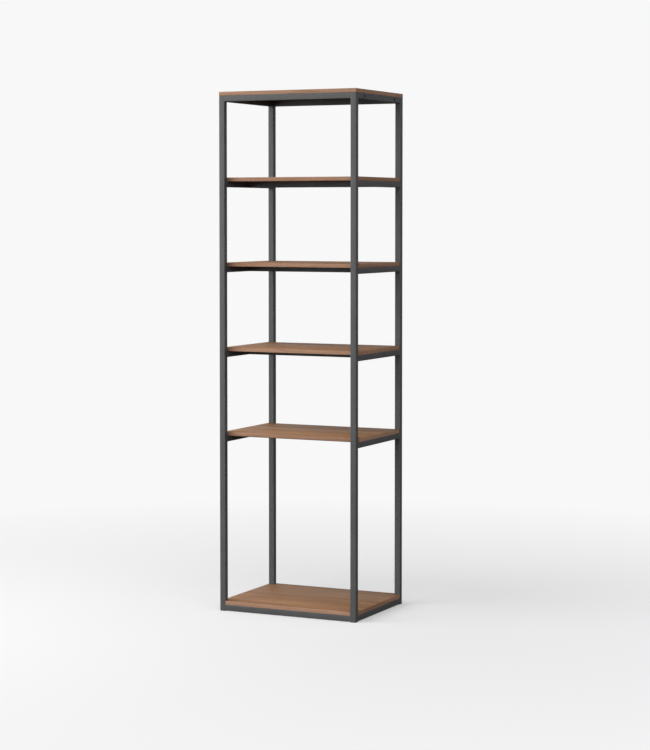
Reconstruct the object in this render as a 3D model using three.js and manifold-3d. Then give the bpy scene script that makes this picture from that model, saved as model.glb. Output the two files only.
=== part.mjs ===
// Open bookcase: a welded frame of square steel tube, a fixed top board, a fixed bottom board
// and four shelves that hang on studs and can be lifted off and moved to another level.
// Millimetres, +Z up, front towards -Y. The origin is the middle of the footprint, on the floor.
import * as THREE from "three";
import { mergeVertices } from "three/addons/utils/BufferGeometryUtils.js";
import Module from "manifold-3d";

// Overall size.
const WIDTH = 635;
const DEPTH = 480;
const HEIGHT = 2200;

// Square steel tube, used for every post and rail.
const TUBE = 25;
const WALL = 1.5;
const TUBE_RADIUS = 2;

// Boards.
const BOARD = 16;
const SHELF_SETBACK = 32; // from the frame's front and rear planes to a shelf board's edge
const NOTCH_GAP = 0.5; // between the bottom board and the posts

// Shelf levels: the height is divided into equal bays, and the lowest level is left empty.
const BAYS = 6;
const SHELF_LEVELS = [2, 3, 4, 5];
const EMPTY_LEVEL = 1;

// Glides that close the posts' lower ends.
const GLIDE = 2;
const GLIDE_PLUG_HEIGHT = 18;
const GLIDE_PLUG_RADIUS = 1;

// Studs that carry the shelves, and the slots that drop over them.
const FIT_GAP = 0.3;
const END_PLATE = 3;
const STUD_NECK_RADIUS = 3;
const STUD_HEAD_RADIUS = 6;
const STUD_HEAD = 2.5;
const STUD_NUT_RADIUS = 4.5;
const STUD_NUT = 3.2;

// Caps over the unused stud holes, in the frame's colour.
const CAP_RADIUS = 5;
const CAP_HEAD = 1.2;
const CAP_STEM = 4;

// Plugs in the top side rails, over the holes for linking two bookcases side by side.
const LINK_SETBACK = 88; // from the frame's front and rear planes
const LINK_PLUG_RADIUS = 6;
const LINK_PLUG_BARB = 6.9;
const LINK_PLUG_BORE = 5.2;
const LINK_PLUG_LENGTH = 12;
const LINK_PLUG_FLOOR = 1.2;
const LINK_PLUG_SINK = 0.3; // below the rail's outer face

// Segments of a full circle on turned pieces, and of each rounded corner on tubes.
const ROUND_SEGMENTS = 12;
const CORNER_SEGMENTS = 3;

// Derived sizes.
const POST_X = (WIDTH - TUBE) / 2;
const POST_Y = (DEPTH - TUBE) / 2;
const POST_TOP = HEIGHT - BOARD;
const FRONT_RAIL_LENGTH = WIDTH - 2 * TUBE;
const SIDE_RAIL_LENGTH = DEPTH - 2 * TUBE;
const BOTTOM_BOARD_Z = GLIDE + TUBE;
const PITCH = (POST_TOP - BOTTOM_BOARD_Z) / BAYS;
const SIDES = [["left", -1], ["right", 1]];
const ENDS = [["front", -1], ["rear", 1]];

const wasm = await Module();
wasm.setup();

const steel = new THREE.MeshStandardMaterial({ color: 0x4a4a4b, roughness: 0.62, metalness: 0.25 });
const walnut = new THREE.MeshStandardMaterial({ color: 0x8f6a52, roughness: 0.55, metalness: 0 });
const blackSteel = new THREE.MeshStandardMaterial({ color: 0x2b2b2d, roughness: 0.42, metalness: 0.7 });
const plastic = new THREE.MeshStandardMaterial({ color: 0x232324, roughness: 0.6, metalness: 0 });
const capPlastic = new THREE.MeshStandardMaterial({ color: 0x4a4a4b, roughness: 0.6, metalness: 0 });

// Height of a level: the plane on which its board lies.
function levelHeight(level) {
  return BOTTOM_BOARD_Z + level * PITCH;
}

// Height of the stud axis at a level.
function studHeight(level) {
  return levelHeight(level) - TUBE / 2;
}

// A closed geometry as a manifold solid.
function solidOf(geometry) {
  const bare = geometry.clone();
  bare.deleteAttribute("normal");
  bare.deleteAttribute("uv");
  const merged = mergeVertices(bare, 1e-4);
  const vertProperties = merged.getAttribute("position").array;
  const triVerts = new Uint32Array(merged.index.array);
  return new wasm.Manifold(new wasm.Mesh({ numProp: 3, vertProperties, triVerts }));
}

// A manifold solid as a geometry with flat faces.
function geometryOf(solid) {
  const { vertProperties, triVerts } = solid.getMesh();
  const indexed = new THREE.BufferGeometry();
  indexed.setAttribute("position", new THREE.BufferAttribute(vertProperties, 3));
  indexed.setIndex(new THREE.BufferAttribute(triVerts, 1));
  const geometry = indexed.toNonIndexed();
  geometry.computeVertexNormals();
  return geometry;
}

// The geometry with the tools' volumes taken away.
function cut(geometry, tools) {
  return geometryOf(tools.reduce((rest, tool) => rest.subtract(solidOf(tool)), solidOf(geometry)));
}

// A square outline with rounded corners, centred on the origin.
function roundedSquare(size, radius, Outline = THREE.Shape) {
  const inner = size / 2 - radius;
  const outline = new Outline();
  outline.absarc(inner, inner, radius, 0, Math.PI / 2);
  outline.absarc(-inner, inner, radius, Math.PI / 2, Math.PI);
  outline.absarc(-inner, -inner, radius, Math.PI, Math.PI * 1.5);
  outline.absarc(inner, -inner, radius, Math.PI * 1.5, Math.PI * 2);
  outline.closePath();
  return outline;
}

// A straight prism of an outline along Z, centred on the origin.
function prism(outline, length) {
  const geometry = new THREE.ExtrudeGeometry(outline, {
    depth: length,
    bevelEnabled: false,
    curveSegments: CORNER_SEGMENTS,
  });
  return geometry.translate(0, 0, -length / 2);
}

// A square tube with open ends along Z.
function tube(length) {
  const outline = roundedSquare(TUBE, TUBE_RADIUS);
  outline.holes.push(roundedSquare(TUBE - 2 * WALL, TUBE_RADIUS - WALL, THREE.Path));
  return prism(outline, length);
}

// A turned piece with its axis along Y; the profile is a list of [radius, y].
function turned(profile) {
  const points = profile.map(([radius, y]) => new THREE.Vector2(radius, y));
  return new THREE.LatheGeometry(points, ROUND_SEGMENTS);
}

// A round hole cutter along Y.
function drill(radius, length) {
  return new THREE.CylinderGeometry(radius, radius, length, ROUND_SEGMENTS);
}

// A post, drilled for the studs in the face that looks at the other post of its side.
function postGeometry(end) {
  const length = POST_TOP - GLIDE;
  const middle = GLIDE + length / 2;
  const holes = [EMPTY_LEVEL, ...SHELF_LEVELS].map((level) =>
    drill(STUD_NECK_RADIUS + FIT_GAP, 2 * WALL)
      .translate(0, -end * (TUBE - WALL) / 2, studHeight(level) - middle));
  return cut(tube(length), holes);
}

// A top side rail with its two linking holes in the outer face.
function topSideRailGeometry(side) {
  const rail = tube(SIDE_RAIL_LENGTH).rotateX(Math.PI / 2);
  const holes = ENDS.map(([, end]) =>
    drill(LINK_PLUG_RADIUS + FIT_GAP, 2 * WALL)
      .rotateZ(Math.PI / 2)
      .translate(side * (TUBE - WALL) / 2, end * (DEPTH / 2 - LINK_SETBACK), 0));
  return cut(rail, holes);
}

// A slot that is open at the bottom and round at the top, through a side rail's end plate.
function slotCutter(end) {
  const radius = STUD_NECK_RADIUS + FIT_GAP;
  const outline = new THREE.Shape();
  outline.moveTo(-radius, -TUBE);
  outline.lineTo(radius, -TUBE);
  outline.absarc(0, 0, radius, 0, Math.PI);
  outline.closePath();
  return prism(outline, 4 * END_PLATE)
    .rotateX(Math.PI / 2)
    .translate(0, end * SIDE_RAIL_LENGTH / 2, 0);
}

// The opening in a side rail's underside that lets the stud's head in.
function headCutter(end) {
  const width = 2 * (STUD_HEAD_RADIUS + FIT_GAP);
  const length = STUD_HEAD + 3 * FIT_GAP;
  const y = end * (SIDE_RAIL_LENGTH / 2 - FIT_GAP - END_PLATE - length / 2);
  return new THREE.BoxGeometry(width, length, 4 * WALL).translate(0, y, -TUBE / 2);
}

// A shelf's side rail: a square tube closed by slotted end plates.
function shelfSideRailGeometry() {
  const length = SIDE_RAIL_LENGTH - 2 * FIT_GAP;
  const bar = prism(roundedSquare(TUBE, TUBE_RADIUS), length).rotateX(Math.PI / 2);
  const hollow = prism(roundedSquare(TUBE - 2 * WALL, TUBE_RADIUS - WALL), length - 2 * END_PLATE)
    .rotateX(Math.PI / 2);
  const slots = ENDS.flatMap(([, end]) => [slotCutter(end), headCutter(end)]);
  return cut(bar, [hollow, ...slots]);
}

// A shelf stud: head, neck and the blind nut that holds it inside the post.
// It stands on the face y = 0 of a post that lies on the side of negative y.
function studGeometry() {
  const headStart = END_PLATE + 2 * FIT_GAP;
  const nutStart = -WALL - FIT_GAP;
  const edge = 0.6;
  return turned([
    [0, nutStart - STUD_NUT],
    [STUD_NUT_RADIUS, nutStart - STUD_NUT],
    [STUD_NUT_RADIUS, nutStart],
    [STUD_NECK_RADIUS, nutStart],
    [STUD_NECK_RADIUS, headStart],
    [STUD_HEAD_RADIUS, headStart],
    [STUD_HEAD_RADIUS, headStart + STUD_HEAD - edge],
    [STUD_HEAD_RADIUS - edge, headStart + STUD_HEAD],
    [0, headStart + STUD_HEAD],
  ]);
}

// A cap for an unused stud hole, placed as the stud is.
function capGeometry() {
  return turned([
    [0, -CAP_STEM],
    [STUD_NECK_RADIUS, -CAP_STEM],
    [STUD_NECK_RADIUS, 0],
    [CAP_RADIUS, 0],
    [CAP_RADIUS, CAP_HEAD / 2],
    [CAP_RADIUS - CAP_HEAD / 2, CAP_HEAD],
    [0, CAP_HEAD],
  ]);
}

// A linking hole's plug: a cup with its rim just below y = 0 and a barb behind the tube's wall.
function linkPlugGeometry() {
  const barb = -WALL - FIT_GAP;
  const floor = -LINK_PLUG_LENGTH + LINK_PLUG_FLOOR;
  return turned([
    [0, -LINK_PLUG_LENGTH],
    [LINK_PLUG_RADIUS, -LINK_PLUG_LENGTH],
    [LINK_PLUG_BARB, 2 * barb],
    [LINK_PLUG_BARB, barb],
    [LINK_PLUG_RADIUS, barb],
    [LINK_PLUG_RADIUS, -LINK_PLUG_SINK],
    [LINK_PLUG_BORE, -LINK_PLUG_SINK],
    [LINK_PLUG_BORE, floor],
    [0, floor],
  ]);
}

// A glide: a flat pad with a plug that fits into the post's end.
function glideGeometry() {
  const plugSize = TUBE - 2 * WALL - 2 * FIT_GAP;
  const pad = prism(roundedSquare(TUBE, TUBE_RADIUS), GLIDE).translate(0, 0, GLIDE / 2);
  const plug = prism(roundedSquare(plugSize, GLIDE_PLUG_RADIUS), GLIDE_PLUG_HEIGHT)
    .translate(0, 0, GLIDE + GLIDE_PLUG_HEIGHT / 2);
  return geometryOf(solidOf(pad).add(solidOf(plug)));
}

// The bottom board, notched around the four posts.
function bottomBoardGeometry() {
  const notch = TUBE + NOTCH_GAP;
  const x = WIDTH / 2;
  const y = DEPTH / 2;
  const outline = new THREE.Shape();
  outline.moveTo(-x + notch, -y);
  outline.lineTo(x - notch, -y);
  outline.lineTo(x - notch, -y + notch);
  outline.lineTo(x, -y + notch);
  outline.lineTo(x, y - notch);
  outline.lineTo(x - notch, y - notch);
  outline.lineTo(x - notch, y);
  outline.lineTo(-x + notch, y);
  outline.lineTo(-x + notch, y - notch);
  outline.lineTo(-x, y - notch);
  outline.lineTo(-x, -y + notch);
  outline.lineTo(-x + notch, -y + notch);
  outline.closePath();
  return prism(outline, BOARD);
}

// A named mesh at a place in its parent.
function piece(name, geometry, material, x, y, z) {
  const mesh = new THREE.Mesh(geometry, material);
  mesh.name = name;
  mesh.position.set(x, y, z);
  return mesh;
}

// A turned piece that stands on a post's inner face at a level.
function onPost(name, geometry, material, side, end, level) {
  const y = end * SIDE_RAIL_LENGTH / 2;
  const mesh = piece(name, geometry, material, side * POST_X, y, studHeight(level));
  mesh.rotation.z = end > 0 ? Math.PI : 0;
  return mesh;
}

// Posts, rails, glides, plugs and caps.
function makeFrame() {
  const frame = new THREE.Group();
  for (const [sideName, side] of SIDES) {
    for (const [endName, end] of ENDS) {
      const corner = `${endName}_${sideName}`;
      const x = side * POST_X;
      const y = end * POST_Y;
      frame.add(
        piece(`post_${corner}`, postGeometry(end), steel, x, y, (GLIDE + POST_TOP) / 2),
        piece(`foot_glide_${corner}`, glideGeometry(), plastic, x, y, 0),
        onPost(`hole_cap_${corner}`, capGeometry(), capPlastic, side, end, EMPTY_LEVEL),
      );
      const linkPlug = piece(`link_hole_plug_${corner}`, linkPlugGeometry(), plastic,
        side * WIDTH / 2, end * (DEPTH / 2 - LINK_SETBACK), POST_TOP - TUBE / 2);
      linkPlug.rotation.z = -side * Math.PI / 2;
      frame.add(linkPlug);
    }
  }
  const bottomZ = GLIDE + TUBE / 2;
  const topZ = POST_TOP - TUBE / 2;
  for (const [endName, end] of ENDS) {
    const rail = tube(FRONT_RAIL_LENGTH).rotateY(Math.PI / 2);
    frame.add(
      piece(`top_rail_${endName}`, rail, steel, 0, end * POST_Y, topZ),
      piece(`bottom_rail_${endName}`, rail, steel, 0, end * POST_Y, bottomZ),
    );
  }
  for (const [sideName, side] of SIDES) {
    const rail = tube(SIDE_RAIL_LENGTH).rotateX(Math.PI / 2);
    frame.add(
      piece(`top_rail_${sideName}`, topSideRailGeometry(side), steel, side * POST_X, 0, topZ),
      piece(`bottom_rail_${sideName}`, rail, steel, side * POST_X, 0, bottomZ),
    );
  }
  return frame;
}

// The two fixed boards.
function makeFixedBoards() {
  const boards = new THREE.Group();
  const top = new THREE.BoxGeometry(WIDTH, DEPTH, BOARD);
  boards.add(
    piece("top_board", top, walnut, 0, 0, POST_TOP + BOARD / 2),
    piece("bottom_board", bottomBoardGeometry(), walnut, 0, 0, BOTTOM_BOARD_Z + BOARD / 2),
  );
  return boards;
}

// One adjustable shelf: a board on two side rails joined by a crossbar.
function makeShelf(number, level) {
  const shelf = new THREE.Group();
  const name = `shelf_${number}`;
  const board = new THREE.BoxGeometry(WIDTH, DEPTH - 2 * SHELF_SETBACK, BOARD);
  const crossbar = tube(FRONT_RAIL_LENGTH).rotateY(Math.PI / 2);
  shelf.add(
    piece(`${name}_board`, board, walnut, 0, 0, BOARD / 2),
    piece(`${name}_crossbar`, crossbar, steel, 0, 0, -TUBE / 2),
  );
  for (const [sideName, side] of SIDES) {
    const rail = shelfSideRailGeometry();
    shelf.add(piece(`${name}_rail_${sideName}`, rail, steel, side * POST_X, 0, -TUBE / 2));
  }
  shelf.position.z = levelHeight(level);
  return shelf;
}

// The four studs that carry one shelf.
function makeStuds(number, level) {
  const studs = new THREE.Group();
  for (const [sideName, side] of SIDES) {
    for (const [endName, end] of ENDS) {
      const name = `stud_${number}_${endName}_${sideName}`;
      studs.add(onPost(name, studGeometry(), blackSteel, side, end, level));
    }
  }
  return studs;
}

const bookcase = new THREE.Group();
bookcase.add(makeFrame(), makeFixedBoards());
SHELF_LEVELS.forEach((level, index) => {
  bookcase.add(makeShelf(index + 1, level), makeStuds(index + 1, level));
});

export default bookcase;
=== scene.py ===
import math

import bmesh
import bpy
from mathutils import Matrix, Vector


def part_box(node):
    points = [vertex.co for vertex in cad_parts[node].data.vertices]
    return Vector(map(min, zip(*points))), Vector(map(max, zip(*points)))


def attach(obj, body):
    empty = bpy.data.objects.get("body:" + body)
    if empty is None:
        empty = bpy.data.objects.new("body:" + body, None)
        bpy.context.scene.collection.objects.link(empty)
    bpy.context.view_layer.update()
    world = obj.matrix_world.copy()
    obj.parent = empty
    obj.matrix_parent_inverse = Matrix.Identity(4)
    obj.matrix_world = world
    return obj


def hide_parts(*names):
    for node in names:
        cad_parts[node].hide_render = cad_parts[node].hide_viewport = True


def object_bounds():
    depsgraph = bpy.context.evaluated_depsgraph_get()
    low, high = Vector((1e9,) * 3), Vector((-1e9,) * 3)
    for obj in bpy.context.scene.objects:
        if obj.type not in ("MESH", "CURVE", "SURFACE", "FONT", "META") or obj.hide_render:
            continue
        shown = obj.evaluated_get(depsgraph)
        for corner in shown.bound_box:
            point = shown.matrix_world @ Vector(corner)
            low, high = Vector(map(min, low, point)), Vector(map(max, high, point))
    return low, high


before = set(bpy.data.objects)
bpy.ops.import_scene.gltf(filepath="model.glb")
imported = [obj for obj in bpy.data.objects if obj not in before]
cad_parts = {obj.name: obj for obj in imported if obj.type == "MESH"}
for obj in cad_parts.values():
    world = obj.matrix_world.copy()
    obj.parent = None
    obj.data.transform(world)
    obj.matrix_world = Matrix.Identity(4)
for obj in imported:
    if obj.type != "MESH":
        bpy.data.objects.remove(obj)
cad_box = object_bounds()

X, Y, Z = 0, 1, 2
SIDES = (("left", -1), ("right", 1))
ENDS = (("front", -1), ("rear", 1))
SHELVES = [f"shelf_{number}" for number in (1, 2, 3, 4)]

# Square steel tube, in metres.
TUBE = 0.025
WALL = 0.0015
TUBE_RADIUS = 0.002
TUBE_SEGMENTS = 6

# Room around a part in its hole, and behind a part that grips the tube's wall.
FIT_GAP = 0.0003

# Shelf studs and their holes.
STUD_RADIUS = 0.003
STUD_HOLE_RADIUS = STUD_RADIUS + FIT_GAP
HOLE_SEGMENTS = 24

# Plugs in the linking holes.
PLUG_RADIUS = 0.006
PLUG_HOLE_SEGMENTS = 32

# Slotted end plates of the shelf rails, and the openings for the studs' heads behind them.
END_PLATE = 0.003
HEAD_WIDTH = 0.0126
HEAD_LENGTH = 0.0034

# Boards: melamine faces with a thin edge band all round. The bottom board's corners are notched.
BAND = 0.001
BAND_ROUND = 0.0006
FACE_ROUND = 0.00015
NOTCH = 0.0255

# Lengths closer than this count as equal.
CLOSE = 1e-6


# ---------------------------------------------------------------- camera and lamps

CAMERA_PLACE = (3.938, -8.098, 1.685)
CAMERA_AZIMUTH = 25.574
CAMERA_TILT_DOWN = 2.829
LENS = 101.409
SHIFT = -0.075


def make_camera():
    data = bpy.data.cameras.new("camera")
    data.lens = LENS
    data.shift_y = SHIFT
    camera = bpy.data.objects.new("camera", data)
    camera.location = CAMERA_PLACE
    camera.rotation_euler = (math.radians(90 - CAMERA_TILT_DOWN), 0, math.radians(CAMERA_AZIMUTH))
    bpy.context.scene.collection.objects.link(camera)
    bpy.context.scene.camera = camera


def make_area_light(name, place, target, size, power):
    """A soft rectangular light that looks at a target; the power is in watts."""
    data = bpy.data.lights.new(name, "AREA")
    data.shape = "RECTANGLE"
    data.size, data.size_y = size
    data.energy = power
    light = bpy.data.objects.new(name, data)
    light.location = place
    aim = Vector(target) - Vector(place)
    light.rotation_euler = aim.to_track_quat("-Z", "Y").to_euler()
    bpy.context.scene.collection.objects.link(light)


# ---------------------------------------------------------------- materials

class Graph:
    """A material and short ways to add nodes to it."""

    def __init__(self, name):
        self.material = bpy.data.materials.new(name)
        self.material.use_nodes = True
        self.tree = self.material.node_tree
        self.shader = self.tree.nodes["Principled BSDF"]

    def set(self, node, inputs):
        for key, value in inputs.items():
            if isinstance(value, bpy.types.NodeSocket):
                self.tree.links.new(value, node.inputs[key])
            else:
                node.inputs[key].default_value = value

    def add(self, kind, inputs, **settings):
        node = self.tree.nodes.new(kind)
        for key, value in settings.items():
            setattr(node, key, value)
        self.set(node, inputs)
        return node

    def place(self, scale, offset=(0, 0, 0), turn=0.0):
        """Object coordinates, turned about Z, shifted and stretched."""
        coordinates = self.add("ShaderNodeTexCoord", {}).outputs["Object"]
        turned = self.add("ShaderNodeMapping", {"Vector": coordinates, "Rotation": (0, 0, turn)})
        shifted = {"Vector": turned.outputs[0], "Location": offset, "Scale": scale}
        return self.add("ShaderNodeMapping", shifted).outputs[0]

    def noise(self, vector, scale, detail=2.0, roughness=0.5, distortion=0.0):
        inputs = {"Vector": vector, "Scale": scale, "Detail": detail}
        inputs.update({"Roughness": roughness, "Distortion": distortion})
        return self.add("ShaderNodeTexNoise", inputs).outputs["Fac"]

    def ramp(self, value, stops):
        node = self.add("ShaderNodeValToRGB", {"Fac": value})
        while len(node.color_ramp.elements) < len(stops):
            node.color_ramp.elements.new(0.5)
        for element, (position, colour) in zip(node.color_ramp.elements, stops):
            element.position = position
            element.color = (*colour, 1)
        return node.outputs["Color"]

    def mix(self, factor, a, b, blend="MIX"):
        node = self.add("ShaderNodeMix", {0: factor}, data_type="RGBA", blend_type=blend)
        self.set(node, {6: a, 7: b})
        return node.outputs[2]

    def remap(self, value, low, high, from_low=0.0, from_high=1.0):
        inputs = {"Value": value, "From Min": from_low, "From Max": from_high}
        inputs.update({"To Min": low, "To Max": high})
        return self.add("ShaderNodeMapRange", inputs).outputs["Result"]

    def bump(self, height, distance, strength=1.0, normal=None):
        inputs = {"Height": height, "Distance": distance, "Strength": strength}
        if normal is not None:
            inputs["Normal"] = normal
        return self.add("ShaderNodeBump", inputs).outputs["Normal"]


def grey(value):
    return (value, value, value)


# The mesh attribute that is 1 along a tube's arrises and 0 on its flats.
ARRIS = "arris"

# Powder coat where it is rubbed: colour and roughness.
RUBBED = (0.105, 0.105, 0.107, 1)
RUBBED_ROUGHNESS = (0.4, 0.4, 0.4, 1)


def powder_coat():
    """Charcoal powder coat with a fine sandy texture, paler and smoother where its arrises are rubbed."""
    graph = Graph("charcoal_powder_coat")
    place = graph.place(grey(1.0))
    sand = graph.noise(place, 900.0, 3.0, 0.6)
    cloud = graph.noise(place, 9.0, 3.0, 0.55)
    patches = graph.noise(place, 60.0, 3.0, 0.6)
    arris = graph.add("ShaderNodeAttribute", {}, attribute_name=ARRIS).outputs["Fac"]
    amount = graph.remap(patches, 0.0, 1.0, 0.4, 0.62)
    rub = graph.add("ShaderNodeMath", {0: arris, 1: amount}, operation="MULTIPLY").outputs[0]
    base = graph.ramp(cloud, [(0.3, (0.059, 0.059, 0.0608)), (0.7, (0.070, 0.070, 0.0718))])
    speck = graph.ramp(sand, [(0.35, grey(0.84)), (0.65, grey(1.12))])
    colour = graph.mix(1.0, base, speck, "MULTIPLY")
    graph.set(graph.shader, {
        "Base Color": graph.mix(rub, colour, RUBBED),
        "Roughness": graph.mix(rub, graph.remap(sand, 0.46, 0.62, 0.3, 0.7), RUBBED_ROUGHNESS),
        "Normal": graph.bump(sand, 0.00012, 0.6),
        "Specular IOR Level": 0.45,
    })
    return graph.material


def walnut(name, offset, shades, turn=0.0):
    """Satin walnut-effect finish; the grain runs along X, or along Y with a quarter turn."""
    graph = Graph(name)
    waves = graph.noise(graph.place((0.9, 3.2, 3.2), offset, turn), 1.0, 2.0)
    drift = graph.add("ShaderNodeCombineXYZ", {"Y": graph.remap(waves, -0.05, 0.05)}).outputs[0]

    def along_grain(scale):
        bent = graph.add("ShaderNodeVectorMath", {0: graph.place((1, 1, 1), offset, turn), 1: drift})
        return graph.add("ShaderNodeMapping", {"Vector": bent.outputs[0], "Scale": scale}).outputs[0]

    broad = graph.noise(along_grain((1.2, 13, 13)), 1.0, 4.0, 0.55, 0.4)
    figure = graph.noise(along_grain((2.6, 52, 52)), 1.0, 5.0, 0.6, 0.8)
    fibre = graph.noise(along_grain((9, 420, 420)), 1.0, 4.0, 0.6)
    pore = graph.noise(along_grain((55, 1100, 1100)), 1.0, 2.0, 0.5)
    dark, middle, light = shades
    body = graph.ramp(broad, [(0.28, dark), (0.5, middle), (0.74, light)])
    streak = graph.ramp(figure, [(0.30, grey(0.76)), (0.46, grey(0.98)), (0.75, grey(1.1))])
    strand = graph.ramp(fibre, [(0.3, grey(0.88)), (0.7, grey(1.08))])
    dash = graph.ramp(pore, [(0.33, grey(0.7)), (0.42, grey(1.0))])
    colour = graph.mix(1.0, body, streak, "MULTIPLY")
    colour = graph.mix(1.0, colour, strand, "MULTIPLY")
    colour = graph.mix(0.7, colour, dash, "MULTIPLY")
    relief = graph.bump(fibre, 0.00006, 0.5)
    graph.set(graph.shader, {
        "Base Color": colour,
        "Roughness": graph.remap(fibre, 0.52, 0.68, 0.3, 0.7),
        "Normal": graph.bump(pore, 0.00008, 0.4, relief),
        "Specular IOR Level": 0.08,
    })
    return graph.material


def black_steel():
    """Black-phosphated screws and studs: dark, slightly oily metal."""
    graph = Graph("black_steel")
    cloud = graph.noise(graph.place(grey(1.0)), 700.0, 3.0, 0.6)
    graph.set(graph.shader, {
        "Base Color": graph.ramp(cloud, [(0.3, (0.020, 0.020, 0.021)), (0.7, (0.034, 0.034, 0.036))]),
        "Roughness": graph.remap(cloud, 0.34, 0.5, 0.3, 0.7),
        "Normal": graph.bump(cloud, 0.00004, 0.4),
        "Specular IOR Level": 0.6,
    })
    return graph.material


def moulded_plastic(name, shade):
    """Matt moulded plastic with a light spark-eroded grain."""
    graph = Graph(name)
    grain = graph.noise(graph.place(grey(1.0)), 1400.0, 2.0, 0.5)
    graph.set(graph.shader, {
        "Base Color": graph.ramp(grain, [(0.3, grey(0.8 * shade)), (0.7, grey(1.2 * shade))]),
        "Roughness": graph.remap(grain, 0.55, 0.72, 0.3, 0.7),
        "Normal": graph.bump(grain, 0.00005, 0.5),
        "Specular IOR Level": 0.2,
    })
    return graph.material


STEEL = powder_coat()
BLACK_STEEL = black_steel()
BLACK_PLASTIC = moulded_plastic("black_plastic", 0.008)
CHARCOAL_PLASTIC = moulded_plastic("charcoal_plastic", 0.062)


# ---------------------------------------------------------------- backdrop and floor

BACKDROP = (0.94, 0.94, 0.94, 1)

# Wide soft lights in the studio dome: azimuth (0 is in front, 90 to the right), elevation, strength.
# The strengths are set in quarter steps, and the front left leads.
SOFT_LIGHTS = ((-45, 5, 2), (45, 5, 1), (0, 45, 1.25), (90, 5, 0.5), (135, 5, 0.5), (-135, 5, 1))


def make_world():
    """A soft studio dome, brighter towards the front left, with a plain pale backdrop for the camera."""
    world = bpy.data.worlds.new("studio")
    world.use_nodes = True
    tree = world.node_tree
    dome = tree.nodes["Background"]
    dome.inputs["Color"].default_value = (1, 1, 1, 1)
    direction = tree.nodes.new("ShaderNodeTexCoord").outputs["Generated"]
    total = None
    for azimuth, elevation, strength in SOFT_LIGHTS:
        around, up = math.radians(azimuth), math.radians(elevation)
        toward = tree.nodes.new("ShaderNodeVectorMath")
        toward.operation = "DOT_PRODUCT"
        toward.inputs[1].default_value = (
            math.sin(around) * math.cos(up), -math.cos(around) * math.cos(up), math.sin(up))
        tree.links.new(direction, toward.inputs[0])
        level = tree.nodes.new("ShaderNodeMapRange")
        level.interpolation_type = "SMOOTHSTEP"
        level.inputs["From Min"].default_value = 0.55
        level.inputs["To Max"].default_value = strength
        tree.links.new(toward.outputs["Value"], level.inputs["Value"])
        if total is None:
            total = level.outputs["Result"]
        else:
            both = tree.nodes.new("ShaderNodeMath")
            tree.links.new(total, both.inputs[0])
            tree.links.new(level.outputs["Result"], both.inputs[1])
            total = both.outputs[0]
    tree.links.new(total, dome.inputs["Strength"])
    backdrop = tree.nodes.new("ShaderNodeBackground")
    backdrop.inputs["Color"].default_value = BACKDROP
    choice = tree.nodes.new("ShaderNodeMixShader")
    tree.links.new(tree.nodes.new("ShaderNodeLightPath").outputs["Is Camera Ray"], choice.inputs[0])
    tree.links.new(dome.outputs[0], choice.inputs[1])
    tree.links.new(backdrop.outputs[0], choice.inputs[2])
    tree.links.new(choice.outputs[0], tree.nodes["World Output"].inputs["Surface"])
    bpy.context.scene.world = world


def make_floor():
    """A pale floor that fades into the backdrop away from the bookcase and throws little light back."""
    bm = bmesh.new()
    bmesh.ops.create_circle(bm, cap_ends=True, radius=60, segments=96)
    mesh = bpy.data.meshes.new("floor")
    bm.to_mesh(mesh)
    bm.free()
    floor = bpy.data.objects.new("floor", mesh)
    bpy.context.scene.collection.objects.link(floor)
    graph = Graph("pale_floor")
    place = graph.add("ShaderNodeTexCoord", {}).outputs["Object"]
    distance = graph.add("ShaderNodeVectorMath", {0: place}, operation="LENGTH").outputs["Value"]
    fade = graph.remap(distance, 0.3, 1.0, 0.8, 3.5)
    seen = graph.add("ShaderNodeBsdfDiffuse", {"Color": (0.9, 0.9, 0.9, 1)})
    glow = graph.add("ShaderNodeEmission", {"Color": BACKDROP})
    pale = graph.add("ShaderNodeMixShader", {0: fade, 1: seen.outputs[0], 2: glow.outputs[0]})
    unseen = graph.add("ShaderNodeBsdfDiffuse", {"Color": (0.1, 0.1, 0.1, 1)})
    camera_ray = graph.add("ShaderNodeLightPath", {}).outputs["Is Camera Ray"]
    choice = graph.add("ShaderNodeMixShader", {0: camera_ray, 1: unseen.outputs[0], 2: pale.outputs[0]})
    output = graph.tree.nodes["Material Output"]
    graph.tree.links.new(choice.outputs[0], output.inputs["Surface"])
    graph.tree.nodes.remove(graph.shader)
    mesh.materials.append(graph.material)


# ---------------------------------------------------------------- shapes

def mark_arrises(mesh):
    """Stores 0 at each face corner that lies on a flat or beside one, and 1 on the round of an arris."""
    bm = bmesh.new()
    bm.from_mesh(mesh)
    flat = {face.index for face in bm.faces if max(map(abs, face.normal)) > 0.999}
    values = []
    for face in bm.faces:
        for corner in face.loops:
            beside = any(other.index in flat and other.normal.dot(face.normal) > 0.5
                         for other in corner.vert.link_faces)
            values.append(0.0 if beside else 1.0)
    bm.free()
    mesh.attributes.new(ARRIS, "FLOAT", "CORNER").data.foreach_set("value", values)


def make_piece(name, bm, material, body, replaced=(), sharp=30):
    """Turns a bmesh into a smooth-shaded piece that rides on a body."""
    mesh = bpy.data.meshes.new(name)
    bm.to_mesh(mesh)
    bm.free()
    mesh.shade_smooth()
    mesh.set_sharp_from_angle(angle=math.radians(sharp))
    mesh.materials.append(material)
    piece = bpy.data.objects.new(name, mesh)
    bpy.context.scene.collection.objects.link(piece)
    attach(piece, body)
    if replaced:
        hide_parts(*replaced)
    return piece


def make_tube(node, bm, body):
    """A tube in place of a node, with its arrises marked for wear."""
    piece = make_piece(f"{node}_tube", bm, STEEL, body, [node])
    mark_arrises(piece.data)


def turn_to(axis):
    """The rotation that takes Z to an axis."""
    turns = {X: Matrix.Rotation(math.pi / 2, 4, "Y"), Y: Matrix.Rotation(-math.pi / 2, 4, "X")}
    return turns.get(axis, Matrix.Identity(4))


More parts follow.
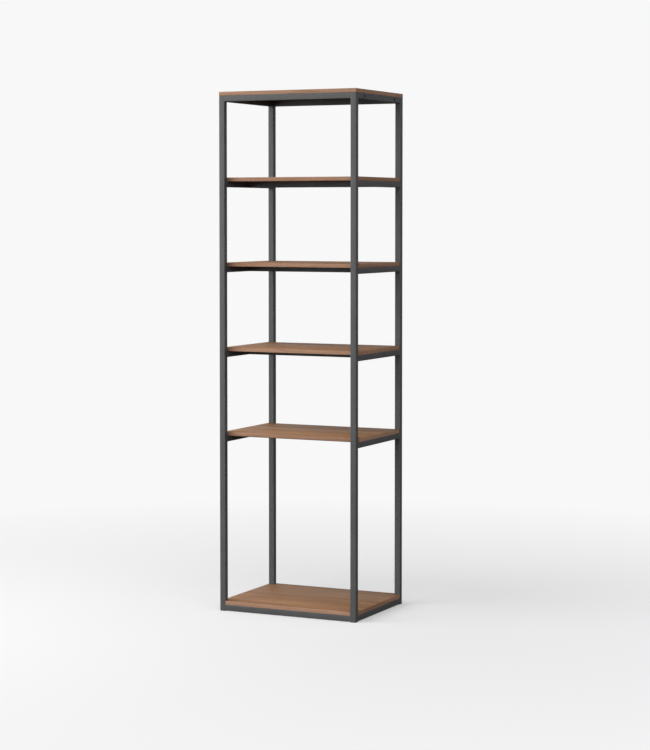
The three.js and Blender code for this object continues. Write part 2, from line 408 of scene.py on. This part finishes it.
def rounded_square(size, radius):
    """A square outline with rounded corners."""
    inner = size / 2 - radius
    points = []
    for quarter in range(4):
        middle = (quarter + 0.5) * math.pi / 2
        cx = math.copysign(inner, math.cos(middle))
        cy = math.copysign(inner, math.sin(middle))
        for step in range(TUBE_SEGMENTS + 1):
            angle = (quarter + step / TUBE_SEGMENTS) * math.pi / 2
            points.append((cx + radius * math.cos(angle), cy + radius * math.sin(angle)))
    return points


def loft(bm, rings, capped=True):
    """Joins rings of points by quads; the end rings are capped, or else joined to each other."""
    loops = [[bm.verts.new(point) for point in ring] for ring in rings]
    pairs = list(zip(loops, loops[1:]))
    if not capped:
        pairs.append((loops[-1], loops[0]))
    for a, b in pairs:
        for i in range(len(a)):
            j = (i + 1) % len(a)
            bm.faces.new((a[i], a[j], b[j], b[i]))
    if capped:
        bm.faces.new(loops[0][::-1])
        bm.faces.new(loops[-1])
    bmesh.ops.recalc_face_normals(bm, faces=bm.faces)


def square_ring(size, radius, z):
    return [(x, y, z) for x, y in rounded_square(size, radius)]


def tube_mesh(length, axis):
    """A hollow square tube along an axis, centred on the origin."""
    bm = bmesh.new()
    half = length / 2
    inner, inner_radius = TUBE - 2 * WALL, TUBE_RADIUS - WALL
    rings = [square_ring(TUBE, TUBE_RADIUS, -half), square_ring(TUBE, TUBE_RADIUS, half)]
    rings += [square_ring(inner, inner_radius, half), square_ring(inner, inner_radius, -half)]
    loft(bm, rings, capped=False)
    bmesh.ops.transform(bm, matrix=turn_to(axis), verts=bm.verts)
    return bm


def turned_mesh(profile, segments=40):
    """A turned solid about Z from (radius, z) points that start and end on the axis."""
    bm = bmesh.new()
    rings = []
    for radius, z in profile[1:-1]:
        angles = [2 * math.pi * i / segments for i in range(segments)]
        rings.append([(radius * math.cos(a), radius * math.sin(a), z) for a in angles])
    loft(bm, rings)
    return bm


def drill_mesh(radius, segments, axis):
    """A cutter for a round hole through one wall of a tube, centred on the origin."""
    depth = 2 * WALL
    bm = turned_mesh([(0, 0), (radius, -depth), (radius, depth), (0, 0)], segments)
    bmesh.ops.transform(bm, matrix=turn_to(axis), verts=bm.verts)
    return bm


def box_mesh(low, high):
    bm = bmesh.new()
    size = Vector(high) - Vector(low)
    matrix = Matrix.Translation((Vector(low) + Vector(high)) / 2) @ Matrix.Diagonal((*size, 1))
    bmesh.ops.create_cube(bm, size=1, matrix=matrix)
    return bm


def move(bm, offset):
    bmesh.ops.translate(bm, vec=Vector(offset), verts=bm.verts)
    return bm


def merge(parts):
    """One bmesh that holds every part."""
    whole = bmesh.new()
    for part in parts:
        mesh = bpy.data.meshes.new("part")
        part.to_mesh(mesh)
        part.free()
        whole.from_mesh(mesh)
        bpy.data.meshes.remove(mesh)
    return whole


def carve(bm, cutters):
    """The bmesh with the cutters' volumes taken away."""
    objects = []
    for shape in (bm, merge(cutters)):
        mesh = bpy.data.meshes.new("carve")
        shape.to_mesh(mesh)
        shape.free()
        item = bpy.data.objects.new("carve", mesh)
        bpy.context.scene.collection.objects.link(item)
        objects.append(item)
    solid, tool = objects
    cut = solid.modifiers.new("cut", "BOOLEAN")
    cut.object = tool
    cut.operation = "DIFFERENCE"
    cut.solver = "EXACT"
    result = bmesh.new()
    result.from_object(solid, bpy.context.evaluated_depsgraph_get())
    for item in objects:
        mesh = item.data
        bpy.data.objects.remove(item)
        bpy.data.meshes.remove(mesh)
    return result


def centre_of(node):
    low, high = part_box(node)
    return (low + high) / 2


def length_of(node, axis):
    low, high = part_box(node)
    return high[axis] - low[axis]


# ---------------------------------------------------------------- steel frame

def make_post(side_name, end_name, end):
    """A post with the stud holes of every level in the face that looks at the other post."""
    corner = f"{end_name}_{side_name}"
    node = f"post_{corner}"
    centre = centre_of(node)
    bm = tube_mesh(length_of(node, Z), Z)
    levels = [centre_of(f"hole_cap_{corner}")[Z]]
    levels += [centre_of(f"stud_{i + 1}_{corner}")[Z] for i in range(len(SHELVES))]
    drills = []
    for level in levels:
        drill = drill_mesh(STUD_HOLE_RADIUS, HOLE_SEGMENTS, Y)
        drills.append(move(drill, (0, -end * (TUBE - WALL) / 2, level - centre[Z])))
    bm = move(carve(bm, drills), centre)
    make_tube(node, bm, "frame")


def make_rail(node, axis, body, run_in):
    """A rail between two tubes; run_in is how far its ends reach over their rounded corners."""
    bm = tube_mesh(length_of(node, axis) + 2 * run_in, axis)
    make_tube(node, move(bm, centre_of(node)), body)


def make_linked_rail(node, side_name, side):
    """A top side rail with the holes of its two linking plugs."""
    bm = tube_mesh(length_of(node, Y) + 2 * TUBE_RADIUS, Y)
    centre = centre_of(node)
    drills = []
    for end_name, _ in ENDS:
        plug = centre_of(f"link_hole_plug_{end_name}_{side_name}")
        drill = drill_mesh(PLUG_RADIUS + FIT_GAP, PLUG_HOLE_SEGMENTS, X)
        drills.append(move(drill, (side * (TUBE - WALL) / 2, plug[Y] - centre[Y], 0)))
    bm = move(carve(bm, drills), centre)
    make_tube(node, bm, "frame")


def make_frame():
    for side_name, side in SIDES:
        for end_name, end in ENDS:
            make_post(side_name, end_name, end)
        make_linked_rail(f"top_rail_{side_name}", side_name, side)
        make_rail(f"bottom_rail_{side_name}", Y, "frame", TUBE_RADIUS)
    for end_name, _ in ENDS:
        make_rail(f"top_rail_{end_name}", X, "frame", TUBE_RADIUS)
        make_rail(f"bottom_rail_{end_name}", X, "frame", TUBE_RADIUS)


# ---------------------------------------------------------------- shelf frames

def slotted_plate_mesh(near, far):
    """An end plate across Y with a round-topped slot that is open at the bottom."""
    corner = TUBE_SEGMENTS + 1
    square = rounded_square(TUBE, TUBE_RADIUS)
    radius = STUD_HOLE_RADIUS
    steps = HOLE_SEGMENTS // 2
    arch = [math.pi * (1 - i / steps) for i in range(steps + 1)]
    slot = [(radius * math.cos(a), radius * math.sin(a)) for a in arch]
    left_foot, right_foot = (-radius, -TUBE / 2), (radius, -TUBE / 2)
    outline = [*square[-corner:], *square[:-corner], left_foot, *slot, right_foot]
    bm = bmesh.new()
    loft(bm, [[(x, y, z) for x, z in outline] for y in (near, far)])
    return bm


def shelf_rail_mesh(length):
    """A side rail closed by end plates that are slotted to drop over the studs."""
    half = length / 2
    ends, openings = [], []
    for _, end in ENDS:
        near, far = end * (half - END_PLATE), end * half
        ends.append(slotted_plate_mesh(near, far))
        low, high = sorted((near - end * HEAD_LENGTH, near + end * END_PLATE))
        top = 2 * WALL - TUBE / 2
        openings.append(box_mesh((-HEAD_WIDTH / 2, low, -TUBE), (HEAD_WIDTH / 2, high, top)))
    return merge([carve(tube_mesh(length - 2 * END_PLATE, Y), openings), *ends])


def make_shelf_frame(shelf):
    for side_name, _ in SIDES:
        node = f"{shelf}_rail_{side_name}"
        bm = move(shelf_rail_mesh(length_of(node, Y)), centre_of(node))
        make_tube(node, bm, shelf)
    make_rail(f"{shelf}_crossbar", X, shelf, 0.0)


# ---------------------------------------------------------------- boards

def round_edges(bm, width, choose, segments=3):
    edges = [edge for edge in bm.edges if choose(edge)]
    bmesh.ops.bevel(bm, geom=edges, offset=width, segments=segments, profile=0.5, affect="EDGES")


def band_mesh(low, high, axis, outward):
    """An edge band strip with the arrises of its outer face rounded."""
    bm = box_mesh(low, high)
    outer = (high if outward > 0 else low)[axis]

    def is_outer(edge):
        return all(abs(v.co[axis] - outer) < CLOSE for v in edge.verts)

    round_edges(bm, BAND_ROUND, is_outer)
    return bm


def board_bands(low, high, notch):
    """The four edge bands of a board, shortened at the corners by the notches if it has any."""
    bands = {"x": [], "y": []}
    for sign in (-1, 1):
        y_out = high[Y] if sign > 0 else low[Y]
        y0, y1 = sorted((y_out, y_out - sign * BAND))
        start, finish = low[X] + notch, high[X] - notch
        bands["x"].append(band_mesh((start, y0, low[Z]), (finish, y1, high[Z]), Y, sign))
        x_out = high[X] if sign > 0 else low[X]
        x0, x1 = sorted((x_out, x_out - sign * BAND))
        trim = notch or BAND
        start, finish = low[Y] + trim, high[Y] - trim
        bands["y"].append(band_mesh((x0, start, low[Z]), (x1, finish, high[Z]), X, sign))
    return bands


def core_outline(low, high, notch):
    """The board's outline inside its bands, with a square notch at each corner if it has any."""
    x0, x1 = low[X] + BAND, high[X] - BAND
    y0, y1 = low[Y] + BAND, high[Y] - BAND
    if not notch:
        return [(x0, y0), (x1, y0), (x1, y1), (x0, y1)]
    left, right = low[X] + notch, high[X] - notch
    front, rear = low[Y] + notch, high[Y] - notch
    return [
        (left, y0), (right, y0), (right, front), (x1, front), (x1, rear), (right, rear),
        (right, y1), (left, y1), (left, rear), (x0, rear), (x0, front), (left, front),
    ]


# Dark, middle and light tones of the walnut effect on the faces and on the edge bands. Besides the wood's
# own tone, the faces are painted darker as painted shade on the tops, and the bands lighter as painted
# light on the upright edges.
FACE_TONES_WITH_PAINTED_SHADE = ((0.236, 0.117, 0.057), (0.324, 0.171, 0.087), (0.398, 0.224, 0.122))
BAND_TONES_WITH_PAINTED_LIGHT = ((0.248, 0.132, 0.081), (0.336, 0.190, 0.122), (0.415, 0.249, 0.167))


def is_level(edge):
    return abs(edge.verts[0].co[Z] - edge.verts[1].co[Z]) < CLOSE


def make_board(node, body, number, notch=0.0):
    """A board of a panel and four edge bands; its number picks its own stretch of grain."""
    low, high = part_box(node)
    along, across, up = number * 1.37, number * 0.83, number * 0.59
    face = walnut(f"walnut_{node}", (along, across, up), FACE_TONES_WITH_PAINTED_SHADE)
    band_x = walnut(f"walnut_band_x_{node}", (along + 5, across, up), BAND_TONES_WITH_PAINTED_LIGHT)
    band_y = walnut(f"walnut_band_y_{node}", (along + 9, across, up), BAND_TONES_WITH_PAINTED_LIGHT, math.pi / 2)
    bm = bmesh.new()
    outline = core_outline(low, high, notch)
    loft(bm, [[(x, y, z) for x, y in outline] for z in (low[Z], high[Z])])
    round_edges(bm, FACE_ROUND, is_level, 1)
    make_piece(f"{node}_panel", bm, face, body, [node], 60)
    bands = board_bands(low, high, notch)
    make_piece(f"{node}_bands_long", merge(bands["x"]), band_x, body)
    make_piece(f"{node}_bands_side", merge(bands["y"]), band_y, body)


def make_boards():
    make_board("top_board", "frame", 1)
    make_board("bottom_board", "frame", 2, NOTCH)
    for number, shelf in enumerate(SHELVES, 3):
        make_board(f"{shelf}_board", shelf, number)


# ---------------------------------------------------------------- studs, caps, plugs and glides

def hex_cutter(across, top, depth):
    """A cutter for a hexagon socket; it stands a little past the top."""
    bm = bmesh.new()
    radius = across / math.sqrt(3)
    past = 0.001
    angles = [math.pi / 3 * i for i in range(6)]
    rings = [[(radius * math.cos(a), radius * math.sin(a), z) for a in angles]
             for z in (top - depth, top + past)]
    loft(bm, rings)
    return bm


def stand_on_post(bm, side, end, z):
    """Turns a piece whose axis is +Z so that it points away from a post's inner face."""
    bmesh.ops.transform(bm, matrix=Matrix.Rotation(end * math.pi / 2, 4, "X"), verts=bm.verts)
    post_x = centre_of("post_front_right")[X]
    face_y = centre_of("post_rear_right")[Y] - TUBE / 2
    return move(bm, (side * post_x, end * face_y, z))


def stud_mesh():
    """A shouldered stud with a hexagon socket, its blind nut inside the post."""
    head, start, finish = 0.006, 0.0036, 0.0061
    nut, nut_length = 0.0045, 0.0032
    nut_ease, back_ease, front_ease = 0.0004, 0.0003, 0.0008
    socket_width, socket_depth = 0.004, 0.0018
    nut_start = -WALL - FIT_GAP
    nut_end = nut_start - nut_length
    profile = [
        (0, nut_end), (nut - nut_ease, nut_end), (nut, nut_end + nut_ease), (nut, nut_start),
        (STUD_RADIUS, nut_start), (STUD_RADIUS, start),
        (head - back_ease, start), (head, start + back_ease), (head, finish - front_ease),
        (head - front_ease / 4, finish - 3 * front_ease / 8), (head - front_ease, finish), (0, finish),
    ]
    return carve(turned_mesh(profile), [hex_cutter(socket_width, finish, socket_depth)])


def cap_mesh():
    """A low domed cap with its stem in the stud hole."""
    stem, stem_end, ease = STUD_RADIUS, -0.004, 0.0006
    cap, rim, height = 0.005, 0.0004, 0.0012
    profile = [(0, stem_end), (stem - ease, stem_end), (stem, stem_end + ease), (stem, 0)]
    profile += [(cap, 0), (cap, rim)]
    dome = [math.cos(angle) for angle in (0.3, 0.6, 0.9, 1.2)]
    profile += [(cap * reach, height - (height - rim) * reach ** 2) for reach in dome]
    return turned_mesh([*profile, (0, height)])


def plug_mesh():
    """A cup-shaped plug, just below the rail's face, with a barb behind the tube's wall."""
    length, barb, bore, floor = 0.012, 0.0069, 0.0052, 0.0012
    sink, ease, step = 0.0003, 0.0002, -WALL - FIT_GAP
    radius = PLUG_RADIUS
    profile = [
        (0, -length), (radius, -length), (barb, 2 * step), (barb, step), (radius, step),
        (radius, -sink - ease), (radius - ease, -sink), (bore + ease, -sink),
        (bore, -sink - ease), (bore, -length + floor), (0, -length + floor),
    ]
    return turned_mesh(profile)


def make_fittings():
    for side_name, side in SIDES:
        for end_name, end in ENDS:
            corner = f"{end_name}_{side_name}"
            for number in range(1, len(SHELVES) + 1):
                node = f"stud_{number}_{corner}"
                bm = stand_on_post(stud_mesh(), side, end, centre_of(node)[Z])
                make_piece(f"{node}_screw", bm, BLACK_STEEL, "frame", [node])
            node = f"hole_cap_{corner}"
            bm = stand_on_post(cap_mesh(), side, end, centre_of(node)[Z])
            make_piece(f"{node}_dome", bm, CHARCOAL_PLASTIC, "frame", [node])
            node = f"link_hole_plug_{corner}"
            plug = plug_mesh()
            turn = Matrix.Rotation(side * math.pi / 2, 4, "Y")
            bmesh.ops.transform(plug, matrix=turn, verts=plug.verts)
            place = centre_of(node)
            face_x = cad_box[1][X] if side > 0 else cad_box[0][X]
            make_piece(f"{node}_disc", move(plug, (face_x, place[Y], place[Z])), BLACK_PLASTIC,
                       "frame", [node])


def glide_mesh():
    """A foot glide: a pad with eased edges under a hollow plug."""
    pad, ease = 0.002, 0.0005
    plug, plug_radius, plug_top = 0.0214, 0.001, 0.02
    lead_in, taper = 0.002, 0.001
    bore, bore_floor = plug - 0.004, 0.004
    rings = [
        square_ring(TUBE - 2 * ease, TUBE_RADIUS, 0), square_ring(TUBE, TUBE_RADIUS, ease),
        square_ring(TUBE, TUBE_RADIUS, pad), square_ring(plug, plug_radius, pad),
        square_ring(plug, plug_radius, plug_top - lead_in),
        square_ring(plug - taper, plug_radius, plug_top),
        square_ring(bore, plug_radius, plug_top), square_ring(bore, plug_radius, bore_floor),
    ]
    bm = bmesh.new()
    loft(bm, rings)
    return bm


def make_glides():
    for side_name, _ in SIDES:
        for end_name, _ in ENDS:
            node = f"foot_glide_{end_name}_{side_name}"
            place = centre_of(node)
            bm = move(glide_mesh(), (place[X], place[Y], 0))
            make_piece(f"{node}_pad", bm, BLACK_PLASTIC, "frame", [node])


# ---------------------------------------------------------------- screws and welds

def screw_head_mesh():
    """A flat head with a cross recess that looks down and stands a little proud of z = 0."""
    radius, proud, ease = 0.004, 0.0005, 0.0002
    arm, half_arm = 0.0019, 0.00045
    profile = [(0, 0), (radius, 0), (radius, ease - proud), (radius - ease, -proud), (0, -proud)]
    bm = turned_mesh(profile, 28)
    for reach_x, reach_y in ((arm, half_arm), (half_arm, arm)):
        slot = box_mesh((-reach_x, -reach_y, -2 * proud), (reach_x, reach_y, -ease))
        bm = carve(bm, [slot])
    return bm


def make_screws(name, body, places):
    heads = [move(screw_head_mesh(), place) for place in places]
    make_piece(name, merge(heads), BLACK_STEEL, body)


def four_corners(x, y):
    return [(side * x, end * y) for side in (-1, 1) for end in (-1, 1)]


def make_all_screws():
    """Screws through the undersides of the rails into the boards."""
    front_rail_reach, side_rail_reach = 0.17, 0.11
    crossbar_reach, shelf_rail_reach = 0.16, 0.13
    x = centre_of("post_front_right")[X]
    y = centre_of("post_rear_right")[Y]
    around = four_corners(front_rail_reach, y) + four_corners(x, side_rail_reach)
    for board, rail in (("top_board", "top_rail_front"), ("bottom_board", "bottom_rail_front")):
        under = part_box(rail)[0][Z]
        make_screws(f"{board}_screws", "frame", [(px, py, under) for px, py in around])
    spots = four_corners(x, shelf_rail_reach) + [(-crossbar_reach, 0), (crossbar_reach, 0)]
    for shelf in SHELVES:
        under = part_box(f"{shelf}_crossbar")[0][Z]
        make_screws(f"{shelf}_screws", shelf, [(px, py, under) for px, py in spots])


def bead_mesh(start, finish):
    """A rippled weld bead along a straight line, with tapered ends."""
    radius, ripples, ripple_depth = 0.0014, 13, 0.1
    taper_rate, end_size = 6, 0.25
    steps, segments = 40, 12
    start, finish = Vector(start), Vector(finish)
    run = finish - start
    turn = run.to_track_quat("Z", "Y").to_matrix().to_4x4()
    angles = [2 * math.pi * k / segments for k in range(segments)]
    rings = []
    for i in range(steps + 1):
        t = i / steps
        taper = min(1.0, taper_rate * t, taper_rate * (1 - t)) ** 0.5 if 0 < t < 1 else end_size
        size = radius * taper * (1 + ripple_depth * math.sin(2 * math.pi * ripples * t))
        rings.append([(size * math.cos(a), size * math.sin(a), t * run.length) for a in angles])
    bm = bmesh.new()
    loft(bm, rings)
    bmesh.ops.transform(bm, matrix=Matrix.Translation(start) @ turn, verts=bm.verts)
    return bm


def make_welds():
    """Beads on the hidden sides of the joints; the outside of every joint is ground flush."""
    inner_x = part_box("top_rail_front")[1][X]
    inner_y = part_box("top_rail_left")[1][Y]
    margin = 0.003
    near, far = margin, TUBE - margin
    beads = []
    for rail in ("top_rail_front", "bottom_rail_front"):
        low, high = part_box(rail)
        for x, y in four_corners(inner_x, inner_y):
            beads.append(bead_mesh((x, y, low[Z] + margin), (x, y, high[Z] - margin)))
    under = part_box("top_rail_front")[0][Z]
    for side, end in four_corners(1, 1):
        x, y = side * inner_x, end * inner_y
        beads.append(bead_mesh((x, y + end * near, under), (x, y + end * far, under)))
        beads.append(bead_mesh((x + side * near, y, under), (x + side * far, y, under)))
    make_piece("frame_welds", merge(beads), STEEL, "frame", sharp=60)
    for shelf in SHELVES:
        low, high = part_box(f"{shelf}_crossbar")
        beads = [bead_mesh((x, y, low[Z] + margin), (x, y, high[Z] - margin))
                 for x, y in four_corners(inner_x, TUBE / 2)]
        make_piece(f"{shelf}_welds", merge(beads), STEEL, shelf, sharp=60)


# ---------------------------------------------------------------- the scene

bpy.context.scene.view_settings.view_transform = "Standard"
make_camera()
make_world()
make_floor()
make_area_light("key", (-2.45, -2.06, 2.0), (0, 0, 1.2), (2.0, 2.6), 48)

make_frame()
make_boards()
for shelf_name in SHELVES:
    make_shelf_frame(shelf_name)
make_fittings()
make_glides()
make_all_screws()
make_welds()
